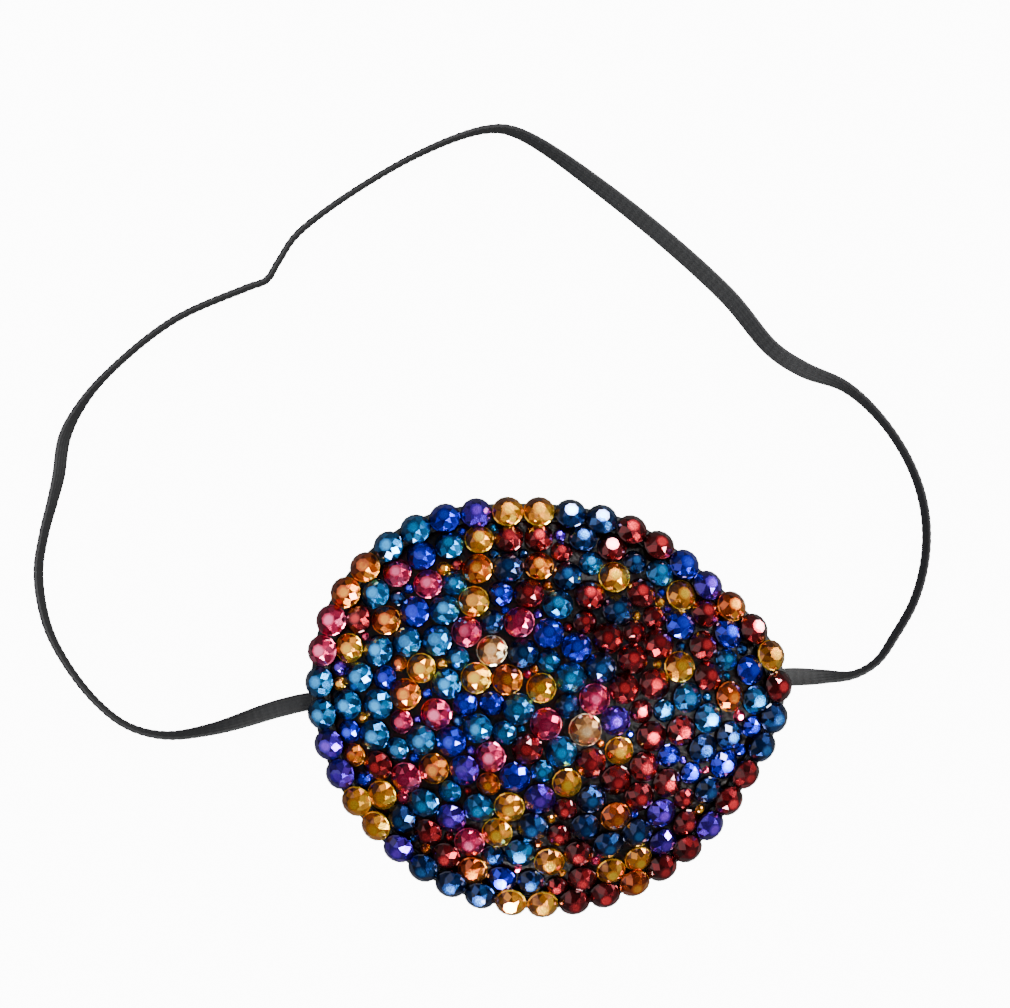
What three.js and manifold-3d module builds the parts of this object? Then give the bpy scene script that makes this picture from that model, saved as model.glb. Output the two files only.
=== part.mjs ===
// Rhinestone eye patch on a braided elastic loop. Millimetres, +Z up.
//
// The patch lies face up with its rim on z = 0. The origin is the middle of the patch's outline,
// level with the rim. +X points to the wearer's left temple side of the loop, +Y to the forehead.
// The dome is described by three numbers: share (0 at the middle, 1 at the rim), angle (radians
// anticlockwise from +X) and depth (mm below the outer face of the fabric cover).

import * as THREE from 'three';
import { mergeVertices } from 'three/addons/utils/BufferGeometryUtils.js';
import Module from 'manifold-3d';

const wasm = await Module();
wasm.setup();

// ---- Rim and dome --------------------------------------------------------------------------

// Radius of the bound edge every 30 degrees, anticlockwise from its pointed end. A smooth closed
// curve joins them.
const RIM_RADII = [39, 34, 33.5, 34, 38.5, 40.5, 38.5, 35.5, 34, 33, 33, 34.5];
const POINTED_END = 8; // degrees
const RIM_MEAN = RIM_RADII.reduce((sum, radius) => sum + radius) / RIM_RADII.length;
const RIM_HEIGHT = 2.7; // outer face of the cover at the rim
const RISE = 9; // from there to the crown
const LEAN = 0.2; // how much steeper the dome is on its leaning side
const LEAN_ANGLE = -35; // degrees

// ---- Layers --------------------------------------------------------------------------------

const GAP = 0.05; // between layers that lie on each other
const COVER = 0.6;
const STIFFENER = 1.2;
const LINING = 0.8;
const FILM = 0.22; // adhesive
const BINDING = 0.35;
const BINDING_SHARE = 0.93; // the binding reaches in from the rim to here
const COVER_SHARE = 0.985; // how far each layer reaches
const STIFFENER_SHARE = 0.94;
const LINING_SHARE = 0.945;
const LINING_FOOT = BINDING + GAP; // the lining's edge turns down to the binding's lower leg
const THREAD = 0.3;
const STITCH_SHARE = 0.885;
const UNDER_LINING = COVER + STIFFENER + LINING + 3 * GAP; // depth just below the lining
const SEGMENTS = 36; // round the rim
const DOME_STEPS = [0, 0.22, 0.44, 0.63, 0.78, 0.9];

// ---- Stones --------------------------------------------------------------------------------

const LARGE = 2.5; // radius of the common stone
const SMALL = 1.95;
const FILLERS = [1.6, 1.3, 1.05, 0.85, 0.7]; // radii that fit in the gaps, largest first
const FIELD_SHARE = 0.915; // the film under the inner stones ends here
const EDGE_FILM_SHARES = [0.94, 0.975];
const STONE_HEIGHT = 0.8; // of its radius
const STONE_TABLE = 0.52; // of its radius
const STONE_SINK = 0.2; // into the adhesive
const STONE_GAP = 0.03; // least room between two stones
const EDGE_OVERHANG = 0.25; // how far the raised edge stones reach over the next ones
const EDGE_INSET = 1.6; // centre of the edge stones, in from the rim
const ROW_PITCH = 4.82;
const ROW_START = 135; // degrees; each row runs clockwise from here
const SPREAD_ROUNDS = 90; // of pushing overlapping stones apart
const GROWTH = 1.2; // how far a stone may grow into the room round it
const FILLER_SHARE = 0.885; // gaps are filled out to here
const FILLER_STEPS = 133; // either side of the middle
const FILLER_STEP = 0.3; // between places tried

// One letter for each stone of a row, from the edge to the middle. Small letters are small stones.
const ROWS = [
  'TTBVGGNNRRBVORGRNNRRVRRORRGGNNNVGGVVTTPPOO',
  'PBTGRRrNRnTGRBtBTbNBNrRVGGRrNBORRNGRobTTGROT',
  'PtONONtGRrBRROTNbRVNNRGTnPVTPtTTbTTB',
  'TGbRTRNrRGTRbRRONrNGTtOTpOGT',
  'PnPBrRRRtRGRNrVGoVBPTt',
  'WNtBNRrVRGtBPTbG',
  'OGTPWTRtb',
  'TnP',
];
const COLOURS = {
  T: 0x1b78a6, // teal
  B: 0x1a1ac8, // cobalt
  V: 0x4a14b4, // violet
  G: 0xd9932a, // gold
  O: 0xc25a16, // orange
  R: 0x7c1220, // dark red
  P: 0xc23468, // rose
  N: 0x0c2c56, // navy
  W: 0xe0b080, // champagne
};

// ---- Elastic -------------------------------------------------------------------------------

const ELASTIC_WIDTH = 3;
const ELASTIC_THICKNESS = 0.9;
const ELASTIC_STEPS = 80;
const POCKET_ROOM = 0.3; // round each sewn end
const TAIL = 7; // length of each end inside the rim
const TAIL_SHARE = 0.99; // where the ends cross the rim
const TAIL_DEPTH = 1.42; // below the outer face of the cover
const TACK_INSET = 0.97; // of the inner end's distance from the middle
// The loop as it lies, from the left side of the patch to the right: x, y and the roll of the
// band in degrees, where 0 lies flat and 90 stands on edge.
const ELASTIC_ROUTE = [
  [-44.1, -0.4, 8], [-55.7, -3.9, 55], [-63.4, -4.9, 76], [-69.4, -3.4, 85], [-74.4, 0.3, 87],
  [-79.6, 6.8, 86], [-82.9, 13.4, 82], [-84.3, 21.8, 77], [-83.4, 28.3, 76], [-82, 33.7, 70],
  [-81, 37.9, 62], [-80, 44.3, 62], [-77.7, 49, 74], [-73.4, 54.4, 84], [-62.2, 63.6, 85],
  [-49.6, 69.2, 84], [-46.6, 70.4, 86], [-44.6, 73.5, 88], [-41.3, 78.2, 88], [-22.7, 90.6, 88],
  [-10, 95.3, 80], [-5.1, 94.7, 66], [11.2, 83.8, 34], [29.4, 68.1, 23], [37.1, 59, 32],
  [42.3, 55.6, 34], [49.2, 52.7, 62], [55.1, 47.3, 76], [59.9, 39.8, 79], [62.2, 32.5, 79],
  [62.4, 25, 80], [60.6, 17.6, 80], [57.2, 11.4, 79], [54.3, 7.3, 82], [50.4, 5.1, 76],
  [45.5, 4.8, 45],
];
const ELASTIC_LEFT = [-39.9, 0.8]; // where it leaves the rim
const ELASTIC_RIGHT = [38.1, 4.6];

// ---- Dome surface --------------------------------------------------------------------------

const radians = THREE.MathUtils.degToRad;

// A Catmull-Rom curve through the radii, taken round and round.
function rimRadius(angle) {
  const count = RIM_RADII.length;
  const along = ((angle - radians(POINTED_END)) / (2 * Math.PI)) * count;
  const from = Math.floor(along);
  const t = along - from;
  const radiusAt = (k) => RIM_RADII[(((from + k) % count) + count) % count];
  const [before, start, end, after] = [-1, 0, 1, 2].map(radiusAt);
  const slope = (end - before) * t;
  const bend = (2 * before - 5 * start + 4 * end - after) * t * t;
  const turn = (3 * start - 3 * end + after - before) * t * t * t;
  return start + (slope + bend + turn) / 2;
}

// Where the radii are measured from, so that the outline's middle is at 0, 0.
function outlineCentre() {
  const outline = new THREE.Box2();
  for (let degree = 0; degree < 360; degree += 1) {
    const angle = radians(degree);
    outline.expandByPoint(
      new THREE.Vector2(Math.cos(angle), Math.sin(angle)).multiplyScalar(rimRadius(angle)),
    );
  }
  const middle = outline.getCenter(new THREE.Vector2());
  return [-middle.x, -middle.y];
}

const RIM_MIDDLE = outlineCentre();

function domeHeight(x, y, share) {
  const along = x * Math.cos(radians(LEAN_ANGLE)) + y * Math.sin(radians(LEAN_ANGLE));
  return RIM_HEIGHT + RISE * (1 - share * share) * (1 + (LEAN * along) / RIM_MEAN);
}

function domePoint(share, angle, depth = 0) {
  const x = share * rimRadius(angle) * Math.cos(angle);
  const y = share * rimRadius(angle) * Math.sin(angle);
  return new THREE.Vector3(x + RIM_MIDDLE[0], y + RIM_MIDDLE[1], domeHeight(x, y, share) - depth);
}

// The share and angle of the point of the dome above x, y.
function domePlace(x, y) {
  const angle = Math.atan2(y - RIM_MIDDLE[1], x - RIM_MIDDLE[0]);
  return [Math.hypot(x - RIM_MIDDLE[0], y - RIM_MIDDLE[1]) / rimRadius(angle), angle];
}

// A frame on the dome above x, y: its Z is the outward normal, and it stands depth below the cover.
function domeFrame(x, y, depth) {
  const step = 0.2;
  const above = (px, py) => domePoint(...domePlace(px, py), depth);
  const acrossX = above(x + step, y).sub(above(x - step, y)).normalize();
  const acrossY = above(x, y + step).sub(above(x, y - step)).normalize();
  const normal = new THREE.Vector3().crossVectors(acrossX, acrossY).normalize();
  const side = new THREE.Vector3().crossVectors(normal, acrossX).normalize();
  return new THREE.Matrix4().makeBasis(acrossX, side, normal).setPosition(above(x, y));
}

// A lathe of a closed profile of [share, height from the dome point], bent onto the rim outline.
// A height given as a function of the dome's own height lets a face lie flat.
function shell(profile, segments = SEGMENTS) {
  const points = profile.map(([share], index) => new THREE.Vector2(share, index));
  const geometry = new THREE.LatheGeometry(points, segments);
  const position = geometry.attributes.position;
  for (let i = 0; i < position.count; i++) {
    const share = Math.hypot(position.getX(i), position.getZ(i));
    const angle = Math.atan2(-position.getZ(i), position.getX(i));
    const place = domePoint(share, angle);
    place.z = profile[Math.round(position.getY(i))][1](place.z);
    position.setXYZ(i, place.x, place.y, place.z);
  }
  return geometry;
}

const below = (depth) => (z) => z - depth;
const level = (height) => () => height;

// A layer of the dome from one depth to another, out to a share. Its edge ends below at foot.
function layer(top, bottom, share, foot = below(bottom)) {
  const steps = DOME_STEPS.filter((s) => s < share - 0.03).concat(share);
  const under = steps.map((s) => [s, s === share ? foot : below(bottom)]);
  const over = [...steps].reverse().map((s) => [s, below(top)]);
  return shell([...under, ...over]);
}

// ---- Solids --------------------------------------------------------------------------------

function toManifold(geometry) {
  const bare = geometry.clone();
  for (const name of ['normal', 'uv', 'color']) bare.deleteAttribute(name);
  const merged = mergeVertices(bare, 1e-4);
  const corners = merged.index.array;
  const kept = [];
  for (let i = 0; i < corners.length; i += 3) {
    const [a, b, c] = corners.slice(i, i + 3);
    if (a !== b && b !== c && c !== a) kept.push(a, b, c);
  }
  return new wasm.Manifold(new wasm.Mesh({
    numProp: 3,
    vertProperties: Float32Array.from(merged.attributes.position.array),
    triVerts: Uint32Array.from(kept),
  }));
}

function toGeometry(manifold) {
  const mesh = manifold.getMesh();
  const geometry = new THREE.BufferGeometry();
  geometry.setAttribute('position', new THREE.BufferAttribute(Float32Array.from(mesh.vertProperties), 3));
  geometry.setIndex(new THREE.BufferAttribute(Uint32Array.from(mesh.triVerts), 1));
  geometry.computeVertexNormals();
  return geometry;
}

const cut = (geometry, tools) =>
  toGeometry(tools.reduce((solid, tool) => solid.subtract(toManifold(tool)), toManifold(geometry)));

// ---- Elastic band --------------------------------------------------------------------------

// Height of the band's middle when it touches the table at this roll.
function bandHeight(roll) {
  const turn = radians(roll);
  const upright = (ELASTIC_WIDTH / 2) * Math.abs(Math.sin(turn));
  return upright + (ELASTIC_THICKNESS / 2) * Math.abs(Math.cos(turn));
}

// The rim crossing and the sewn end of one side, as [x, y, z, roll].
function bandEnd([x, y]) {
  const [, angle] = domePlace(x, y);
  const rim = domePoint(TAIL_SHARE, angle, TAIL_DEPTH);
  const inner = domePoint(1 - TAIL / rimRadius(angle), angle, TAIL_DEPTH);
  return [[rim.x, rim.y, rim.z, 0], [inner.x, inner.y, inner.z, 0]];
}

// A band of one section, run along places of [x, y, z, roll].
function band(places, width, thickness, steps) {
  const points = places.map(([x, y, z]) => new THREE.Vector3(x, y, z));
  const route = new THREE.CatmullRomCurve3(points, false, 'centripetal');
  const rolls = new THREE.CatmullRomCurve3(places.map(([, , , roll], i) => new THREE.Vector3(i, roll, 0)));
  const w = width / 2;
  const t = thickness / 2;
  const corner = t * 0.5;
  const section = new THREE.Shape([
    [w, -t + corner], [w, t - corner], [w - corner, t], [-w + corner, t],
    [-w, t - corner], [-w, -t + corner], [-w + corner, -t], [w - corner, -t],
  ].map(([x, y]) => new THREE.Vector2(x, y)));
  const geometry = new THREE.ExtrudeGeometry(section, { depth: 1, steps, bevelEnabled: false });
  const position = geometry.attributes.position;
  for (let i = 0; i < position.count; i++) {
    const along = route.getUtoTmapping(position.getZ(i));
    const middle = route.getPoint(along);
    const ahead = route.getTangent(along);
    const roll = radians(rolls.getPoint(along).y);
    const side = new THREE.Vector3(-ahead.y, ahead.x, 0).normalize();
    const up = new THREE.Vector3().crossVectors(ahead, side);
    const across = side.clone().multiplyScalar(Math.cos(roll)).addScaledVector(up, Math.sin(roll));
    const out = up.multiplyScalar(Math.cos(roll)).addScaledVector(side, -Math.sin(roll));
    middle.addScaledVector(across, position.getX(i)).addScaledVector(out, position.getY(i));
    position.setXYZ(i, middle.x, middle.y, Math.max(middle.z, 0));
  }
  return geometry;
}

const [leftRim, leftInner] = bandEnd(ELASTIC_LEFT);
const [rightRim, rightInner] = bandEnd(ELASTIC_RIGHT);

function elasticStrap() {
  const lying = ELASTIC_ROUTE.map(([x, y, roll]) => [x, y, bandHeight(roll), roll]);
  const places = [leftInner, leftRim, ...lying, rightRim, rightInner];
  return band(places, ELASTIC_WIDTH, ELASTIC_THICKNESS, ELASTIC_STEPS);
}

// The room that one sewn end takes in the layers, a little larger than the band all round.
function pocket(inner, rim) {
  const outward = new THREE.Vector3(rim[0] - inner[0], rim[1] - inner[1], rim[2] - inner[2]).normalize();
  const from = new THREE.Vector3(...inner.slice(0, 3)).addScaledVector(outward, -POCKET_ROOM);
  const to = new THREE.Vector3(...rim.slice(0, 3)).addScaledVector(outward, 0.8);
  const room = 2 * POCKET_ROOM;
  return band([[...from, 0], [...to, 0]], ELASTIC_WIDTH + room, ELASTIC_THICKNESS + room, 1);
}

const pockets = [pocket(leftInner, leftRim), pocket(rightInner, rightRim)];

// ---- Fabric layers -------------------------------------------------------------------------

const frontCover = () => layer(0, COVER, COVER_SHARE);

function stiffener() {
  const top = COVER + GAP;
  return cut(layer(top, top + STIFFENER, STIFFENER_SHARE), pockets);
}

function backLining() {
  const top = COVER + GAP + STIFFENER + GAP;
  return cut(layer(top, top + LINING, LINING_SHARE, level(LINING_FOOT)), pockets);
}

// A tape folded round the rim: flat below, following the dome above.
function edgeBinding() {
  const inner = BINDING_SHARE;
  const wall = 1 - BINDING / RIM_MEAN;
  const middle = (inner + wall) / 2;
  const over = below(-GAP - BINDING);
  const under = below(-GAP);
  const profile = [
    [inner, level(0)], [1, level(0)], [1, over], [middle, over], [inner, over],
    [inner, under], [middle, under], [wall, under], [wall, level(BINDING)], [inner, level(BINDING)],
    [inner, level(0)],
  ];
  return cut(shell(profile), pockets);
}

// A ring of thread on the lining, just inside the binding.
function rimStitching() {
  const end = STITCH_SHARE + THREAD / RIM_MEAN;
  const over = below(UNDER_LINING);
  const under = below(UNDER_LINING + THREAD);
  const start = STITCH_SHARE;
  return shell([[start, under], [end, under], [end, over], [start, over], [start, under]]);
}

// The bar of thread that sews one end of the elastic to the lining.
function barTack(inner) {
  const geometry = new THREE.CapsuleGeometry(THREAD, ELASTIC_WIDTH - 2 * THREAD, 2, 8);
  const place = domeFrame(inner[0] * TACK_INSET, inner[1] * TACK_INSET, UNDER_LINING + THREAD);
  return geometry.scale(1, 1, 0.5).applyMatrix4(place);
}

// ---- Stones --------------------------------------------------------------------------------

// Points spaced evenly along the row at this share, clockwise from ROW_START.
function rowPlaces(share, count) {
  const samples = 720;
  const points = [];
  for (let i = 0; i <= samples; i++) {
    points.push(domePoint(share, radians(ROW_START) - (i / samples) * 2 * Math.PI));
  }
  const along = [0];
  for (let i = 1; i <= samples; i++) along.push(along[i - 1] + points[i].distanceTo(points[i - 1]));
  const places = [];
  for (let k = 0, i = 1; k < count; k++) {
    const target = (k * along[samples]) / count;
    while (along[i] < target) i++;
    const part = (target - along[i - 1]) / (along[i] - along[i - 1]);
    places.push(points[i - 1].clone().lerp(points[i], part));
  }
  return places;
}

// A repeatable number from -0.5 to 0.5.
function wobble(n) {
  const value = Math.sin(n * 12.9898) * 43758.5453;
  return value - Math.floor(value) - 0.5;
}

// The clear distance between two stones, measured along the dome. It is below 0 if they overlap.
function roomBetween(a, b) {
  const overhang = (a.row === 0) === (b.row === 0) ? 0 : EDGE_OVERHANG;
  const apart = Math.hypot(b.x - a.x, b.y - a.y, b.z - a.z);
  return apart - a.radius - b.radius - STONE_GAP + overhang;
}

// Every stone as { letter, row, x, y, z, radius }: the rows, pushed apart and resized until they
// just clear each other, and then fillers in the gaps.
function stonePlan() {
  const stones = [];
  ROWS.forEach((letters, row) => {
    const share = Math.max(0, 1 - (EDGE_INSET + row * ROW_PITCH) / RIM_MEAN);
    rowPlaces(share, letters.length).forEach((place, k) => {
      const loose = row === 0 ? 0 : 1.3;
      const n = 2 * stones.length + 1;
      const radius = letters[k] === letters[k].toUpperCase() ? LARGE : SMALL;
      const letter = letters[k].toUpperCase();
      const x = place.x + loose * wobble(n);
      const y = place.y + loose * wobble(n + 1);
      stones.push(settled({ letter, row, x, y, radius }));
    });
  });
  for (let round = 0; round < SPREAD_ROUNDS; round++) spreadStones(stones);
  for (const stone of stones) {
    if (stone.row === 0) continue;
    stone.radius = Math.min(stone.radius * GROWTH, stone.radius + roomAround(stone, stones));
  }
  return [...stones, ...fillers(stones)];
}

// The stone with its height on the dome brought up to date.
function settled(stone) {
  stone.z = domePoint(...domePlace(stone.x, stone.y)).z;
  return stone;
}

function spreadStones(stones) {
  stones.forEach((a, i) => {
    for (const b of stones.slice(i + 1)) {
      const short = -roomBetween(a, b);
      if (short <= 0 || b.row === 0) continue;
      const share = a.row === 0 ? 0 : 0.5; // the edge row stays
      const apart = Math.hypot(b.x - a.x, b.y - a.y);
      const [dx, dy] = [((b.x - a.x) / apart) * short, ((b.y - a.y) / apart) * short];
      a.x -= dx * share;
      a.y -= dy * share;
      b.x += dx * (1 - share);
      b.y += dy * (1 - share);
      settled(a);
      settled(b);
    }
  });
}

// The least room between a stone and all the others.
function roomAround(stone, stones) {
  return Math.min(...stones.filter((other) => other !== stone).map((other) => roomBetween(stone, other)));
}

function fillers(stones) {
  const found = [];
  const letters = Object.keys(COLOURS).slice(0, 8);
  for (const radius of FILLERS) {
    for (let j = -FILLER_STEPS; j < FILLER_STEPS; j++) {
      for (let i = -FILLER_STEPS; i < FILLER_STEPS; i++) {
        const [x, y] = [i * FILLER_STEP, j * FILLER_STEP];
        if (domePlace(x, y)[0] > FILLER_SHARE) continue;
        const filler = settled({ row: -1, x, y, radius });
        if (roomAround(filler, [...stones, ...found]) < 0) continue;
        filler.letter = letters[Math.floor((wobble(found.length + 7) + 0.5) * letters.length)];
        found.push(filler);
      }
    }
  }
  return found;
}

// A flat-backed stone: a round foot that narrows to its table.
function stone({ x, y, radius, row }, depth) {
  const sides = row === 0 ? 8 : 6;
  const height = radius * STONE_HEIGHT;
  const profile = [[0, 0], [radius, 0], [radius * STONE_TABLE, height], [0, height]];
  const geometry = new THREE.LatheGeometry(profile.map(([r, h]) => new THREE.Vector2(r, h)), sides);
  return geometry.rotateX(Math.PI / 2).applyMatrix4(domeFrame(x, y, depth));
}

const stones = stonePlan();
const edgeStones = stones.filter(({ row }) => row === 0);
const fieldStones = stones.filter(({ row }) => row !== 0);
const EDGE_STONE_DEPTH = -(2 * GAP + BINDING + FILM + GAP);

// The adhesive under the edge row, on top of the binding.
function edgeAdhesive() {
  const under = below(-2 * GAP - BINDING);
  const over = below(-2 * GAP - BINDING - FILM);
  const [inner, outer] = EDGE_FILM_SHARES;
  return shell([[inner, under], [outer, under], [outer, over], [inner, over], [inner, under]]);
}

// The stones inside the edge row, on their one film of adhesive.
function stoneField() {
  const film = toManifold(layer(-GAP - FILM, -GAP, FIELD_SHARE));
  const depth = -GAP - FILM + STONE_SINK;
  const joined = wasm.Manifold.union([film, ...fieldStones.map((s) => toManifold(stone(s, depth)))]);
  return toGeometry(joined.simplify(0.02));
}

// ---- Assembly ------------------------------------------------------------------------------

const patch = new THREE.Group();

function add(name, geometry, color, roughness, metalness = 0) {
  const mesh = new THREE.Mesh(geometry, new THREE.MeshStandardMaterial({ color, roughness, metalness }));
  mesh.name = name;
  patch.add(mesh);
}

add('back_lining', backLining(), 0x1c1c20, 0.95);
add('stiffener', stiffener(), 0x2c2a28, 0.9);
add('front_cover', frontCover(), 0x0e0e12, 0.7);
add('edge_binding', edgeBinding(), 0x101014, 0.8);
add('rim_stitching', rimStitching(), 0x17171b, 0.7);
add('bar_tack_left', barTack(leftInner), 0x17171b, 0.7);
add('bar_tack_right', barTack(rightInner), 0x17171b, 0.7);
add('elastic_strap', elasticStrap(), 0x1c1e24, 0.75);
add('edge_adhesive', edgeAdhesive(), 0x9aa0a4, 0.3);
add('stone_field', stoneField(), 0x1b78a6, 0.08, 0.4);
edgeStones.forEach((edge, i) => {
  const number = String(i + 1).padStart(2, '0');
  add(`edge_stone_${number}`, stone(edge, EDGE_STONE_DEPTH), COLOURS[edge.letter], 0.08, 0.4);
});

export default patch;
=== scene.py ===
"""Rhinestone eye patch on a braided elastic loop: the looks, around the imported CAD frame.

Everything is worked out in millimetres in the CAD part's frame and turned into metres when a mesh
is made. The dome is described as in the CAD part: share is 0 at the middle and 1 at the rim, angle
is in radians anticlockwise from +X, and lift is the height above the outer face of the cover.
"""

import math

import bmesh
import bpy
from mathutils import Matrix, Vector, noise


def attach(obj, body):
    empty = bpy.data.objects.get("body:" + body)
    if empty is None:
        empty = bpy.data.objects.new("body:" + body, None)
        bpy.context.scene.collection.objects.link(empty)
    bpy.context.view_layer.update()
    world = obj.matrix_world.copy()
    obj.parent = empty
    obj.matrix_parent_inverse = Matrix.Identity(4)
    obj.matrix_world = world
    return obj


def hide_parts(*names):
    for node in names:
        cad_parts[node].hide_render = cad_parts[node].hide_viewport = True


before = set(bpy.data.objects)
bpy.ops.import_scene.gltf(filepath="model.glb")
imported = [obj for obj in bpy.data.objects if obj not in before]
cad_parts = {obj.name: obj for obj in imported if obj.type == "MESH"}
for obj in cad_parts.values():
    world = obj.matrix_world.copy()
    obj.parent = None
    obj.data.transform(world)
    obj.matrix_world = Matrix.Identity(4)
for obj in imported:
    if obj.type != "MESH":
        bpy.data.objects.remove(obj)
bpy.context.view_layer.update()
MM = 0.001

# ---- Camera ---------------------------------------------------------------------------------

CAMERA_AT = (-7.15, 33.35, 330)  # mm, looking straight down with +Y up
FIELD_WIDTH = 167.8  # mm of floor across the picture
SENSOR = 36


def add_camera():
    data = bpy.data.cameras.new("camera")
    data.sensor_width = SENSOR
    data.lens = SENSOR * CAMERA_AT[2] / FIELD_WIDTH
    data.clip_start = 0.01
    camera = bpy.data.objects.new("camera", data)
    camera.location = Vector(CAMERA_AT) * MM
    bpy.context.scene.collection.objects.link(camera)
    bpy.context.scene.camera = camera


add_camera()

# ---- Dome -----------------------------------------------------------------------------------

# Radius of the bound edge every 30 degrees, anticlockwise from its pointed end. A smooth closed
# curve joins them.
RIM_RADII = [39, 34, 33.5, 34, 38.5, 40.5, 38.5, 35.5, 34, 33, 33, 34.5]
POINTED_END = math.radians(8)
RIM_MEAN = sum(RIM_RADII) / len(RIM_RADII)
RIM_HEIGHT = 2.7
RISE = 9
LEAN = 0.2
LEAN_ANGLE = math.radians(-35)

GAP = 0.05
COVER = 0.6
STIFFENER = 1.2
LINING = 0.8
FILM = 0.22
BINDING = 0.35
BINDING_SHARE = 0.93
UNDER_LINING = COVER + STIFFENER + LINING + 3 * GAP


def rim_radius(angle):
    """A Catmull-Rom curve through the radii, taken round and round."""
    count = len(RIM_RADII)
    along = (angle - POINTED_END) / (2 * math.pi) * count
    first = math.floor(along)
    t = along - first
    before, start, end, after = (RIM_RADII[(first + k) % count] for k in (-1, 0, 1, 2))
    slope = (end - before) * t
    bend = (2 * before - 5 * start + 4 * end - after) * t * t
    turn = (3 * start - 3 * end + after - before) * t * t * t
    return start + (slope + bend + turn) / 2


def outline_centre():
    """Where the radii are measured from, so that the outline's middle is at 0, 0."""
    angles = [math.radians(degree) for degree in range(360)]
    xs = [rim_radius(angle) * math.cos(angle) for angle in angles]
    ys = [rim_radius(angle) * math.sin(angle) for angle in angles]
    return (-(min(xs) + max(xs)) / 2, -(min(ys) + max(ys)) / 2)


RIM_MIDDLE = outline_centre()


def dome_point(share, angle, lift=0.0):
    x = share * rim_radius(angle) * math.cos(angle)
    y = share * rim_radius(angle) * math.sin(angle)
    along = x * math.cos(LEAN_ANGLE) + y * math.sin(LEAN_ANGLE)
    z = RIM_HEIGHT + RISE * (1 - share * share) * (1 + LEAN * along / RIM_MEAN) + lift
    return Vector((x + RIM_MIDDLE[0], y + RIM_MIDDLE[1], z))


def dome_place(x, y):
    angle = math.atan2(y - RIM_MIDDLE[1], x - RIM_MIDDLE[0])
    return math.hypot(x - RIM_MIDDLE[0], y - RIM_MIDDLE[1]) / rim_radius(angle), angle


def dome_frame(x, y, lift):
    """A frame on the dome above x, y, with its Z along the outward normal."""
    step = 0.2

    def above(px, py):
        return dome_point(*dome_place(px, py), lift)

    across_x = (above(x + step, y) - above(x - step, y)).normalized()
    across_y = (above(x, y + step) - above(x, y - step)).normalized()
    normal = across_x.cross(across_y).normalized()
    side = normal.cross(across_x).normalized()
    turn = Matrix((across_x, side, normal)).transposed().to_4x4()
    return Matrix.Translation(above(x, y)) @ turn


# ---- Mesh helpers ---------------------------------------------------------------------------


def add_object(name, bm, materials):
    """A piece from a bmesh in millimetres, riding on the part's one body."""
    bmesh.ops.recalc_face_normals(bm, faces=bm.faces)
    mesh = bpy.data.meshes.new(name)
    bm.to_mesh(mesh)
    bm.free()
    mesh.transform(Matrix.Scale(MM, 4))
    for material in materials:
        mesh.materials.append(material)
    mesh.polygons.foreach_set("use_smooth", [True] * len(mesh.polygons))
    piece = bpy.data.objects.new(name, mesh)
    bpy.context.scene.collection.objects.link(piece)
    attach(piece, "root")
    return piece


def bridge(bm, first, second, closed=True, material=0):
    """Quads between two rings of vertices of the same length."""
    count = len(first)
    for i in range(count if closed else count - 1):
        j = (i + 1) % count
        face = bm.faces.new((first[i], first[j], second[j], second[i]))
        face.material_index = material
    return second


def tube(bm, rings, capped=True, material=0):
    """A closed tube through rings of points."""
    made = [[bm.verts.new(point) for point in ring] for ring in rings]
    for first, second in zip(made, made[1:]):
        bridge(bm, first, second, material=material)
    if capped:
        bm.faces.new(made[0]).material_index = material
        bm.faces.new(reversed(made[-1])).material_index = material
    return made


# ---- Node material helpers --------------------------------------------------------------------


class Nodes:
    """Builds one material's node tree around its Principled shader."""

    def __init__(self, name):
        self.material = bpy.data.materials.new(name)
        self.material.use_nodes = True
        self.tree = self.material.node_tree
        self.shader = self.tree.nodes["Principled BSDF"]
        self.coordinates = self.tree.nodes.new("ShaderNodeTexCoord").outputs["Object"]

    def add(self, kind, values=(), **settings):
        node = self.tree.nodes.new(kind)
        for key, value in settings.items():
            setattr(node, key, value)
        for key, value in dict(values).items():
            if isinstance(value, bpy.types.NodeSocket):
                self.tree.links.new(value, node.inputs[key])
            else:
                node.inputs[key].default_value = value
        return node

    def set(self, **values):
        for key, value in values.items():
            self.shader.inputs[key.replace("_", " ")].default_value = value

    def link(self, output, name):
        self.tree.links.new(output, self.shader.inputs[name])

    def noise(self, scale, detail=3, roughness=0.5):
        values = {
            "Vector": self.coordinates, "Scale": scale, "Detail": detail, "Roughness": roughness,
        }
        return self.add("ShaderNodeTexNoise", values).outputs["Fac"]

    def ramp(self, fac, stops):
        node = self.add("ShaderNodeValToRGB", {"Fac": fac})
        elements = node.color_ramp.elements
        while len(elements) < len(stops):
            elements.new(0.5)
        for element, (at, colour) in zip(elements, stops):
            element.position = at
            element.color = (*colour, 1)
        return node.outputs["Color"]

    def math(self, operation, a, b=0.0):
        return self.add("ShaderNodeMath", {0: a, 1: b}, operation=operation).outputs[0]

    def bump(self, height, strength, distance):
        values = {"Height": height, "Strength": strength, "Distance": distance}
        self.link(self.add("ShaderNodeBump", values).outputs["Normal"], "Normal")


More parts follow.
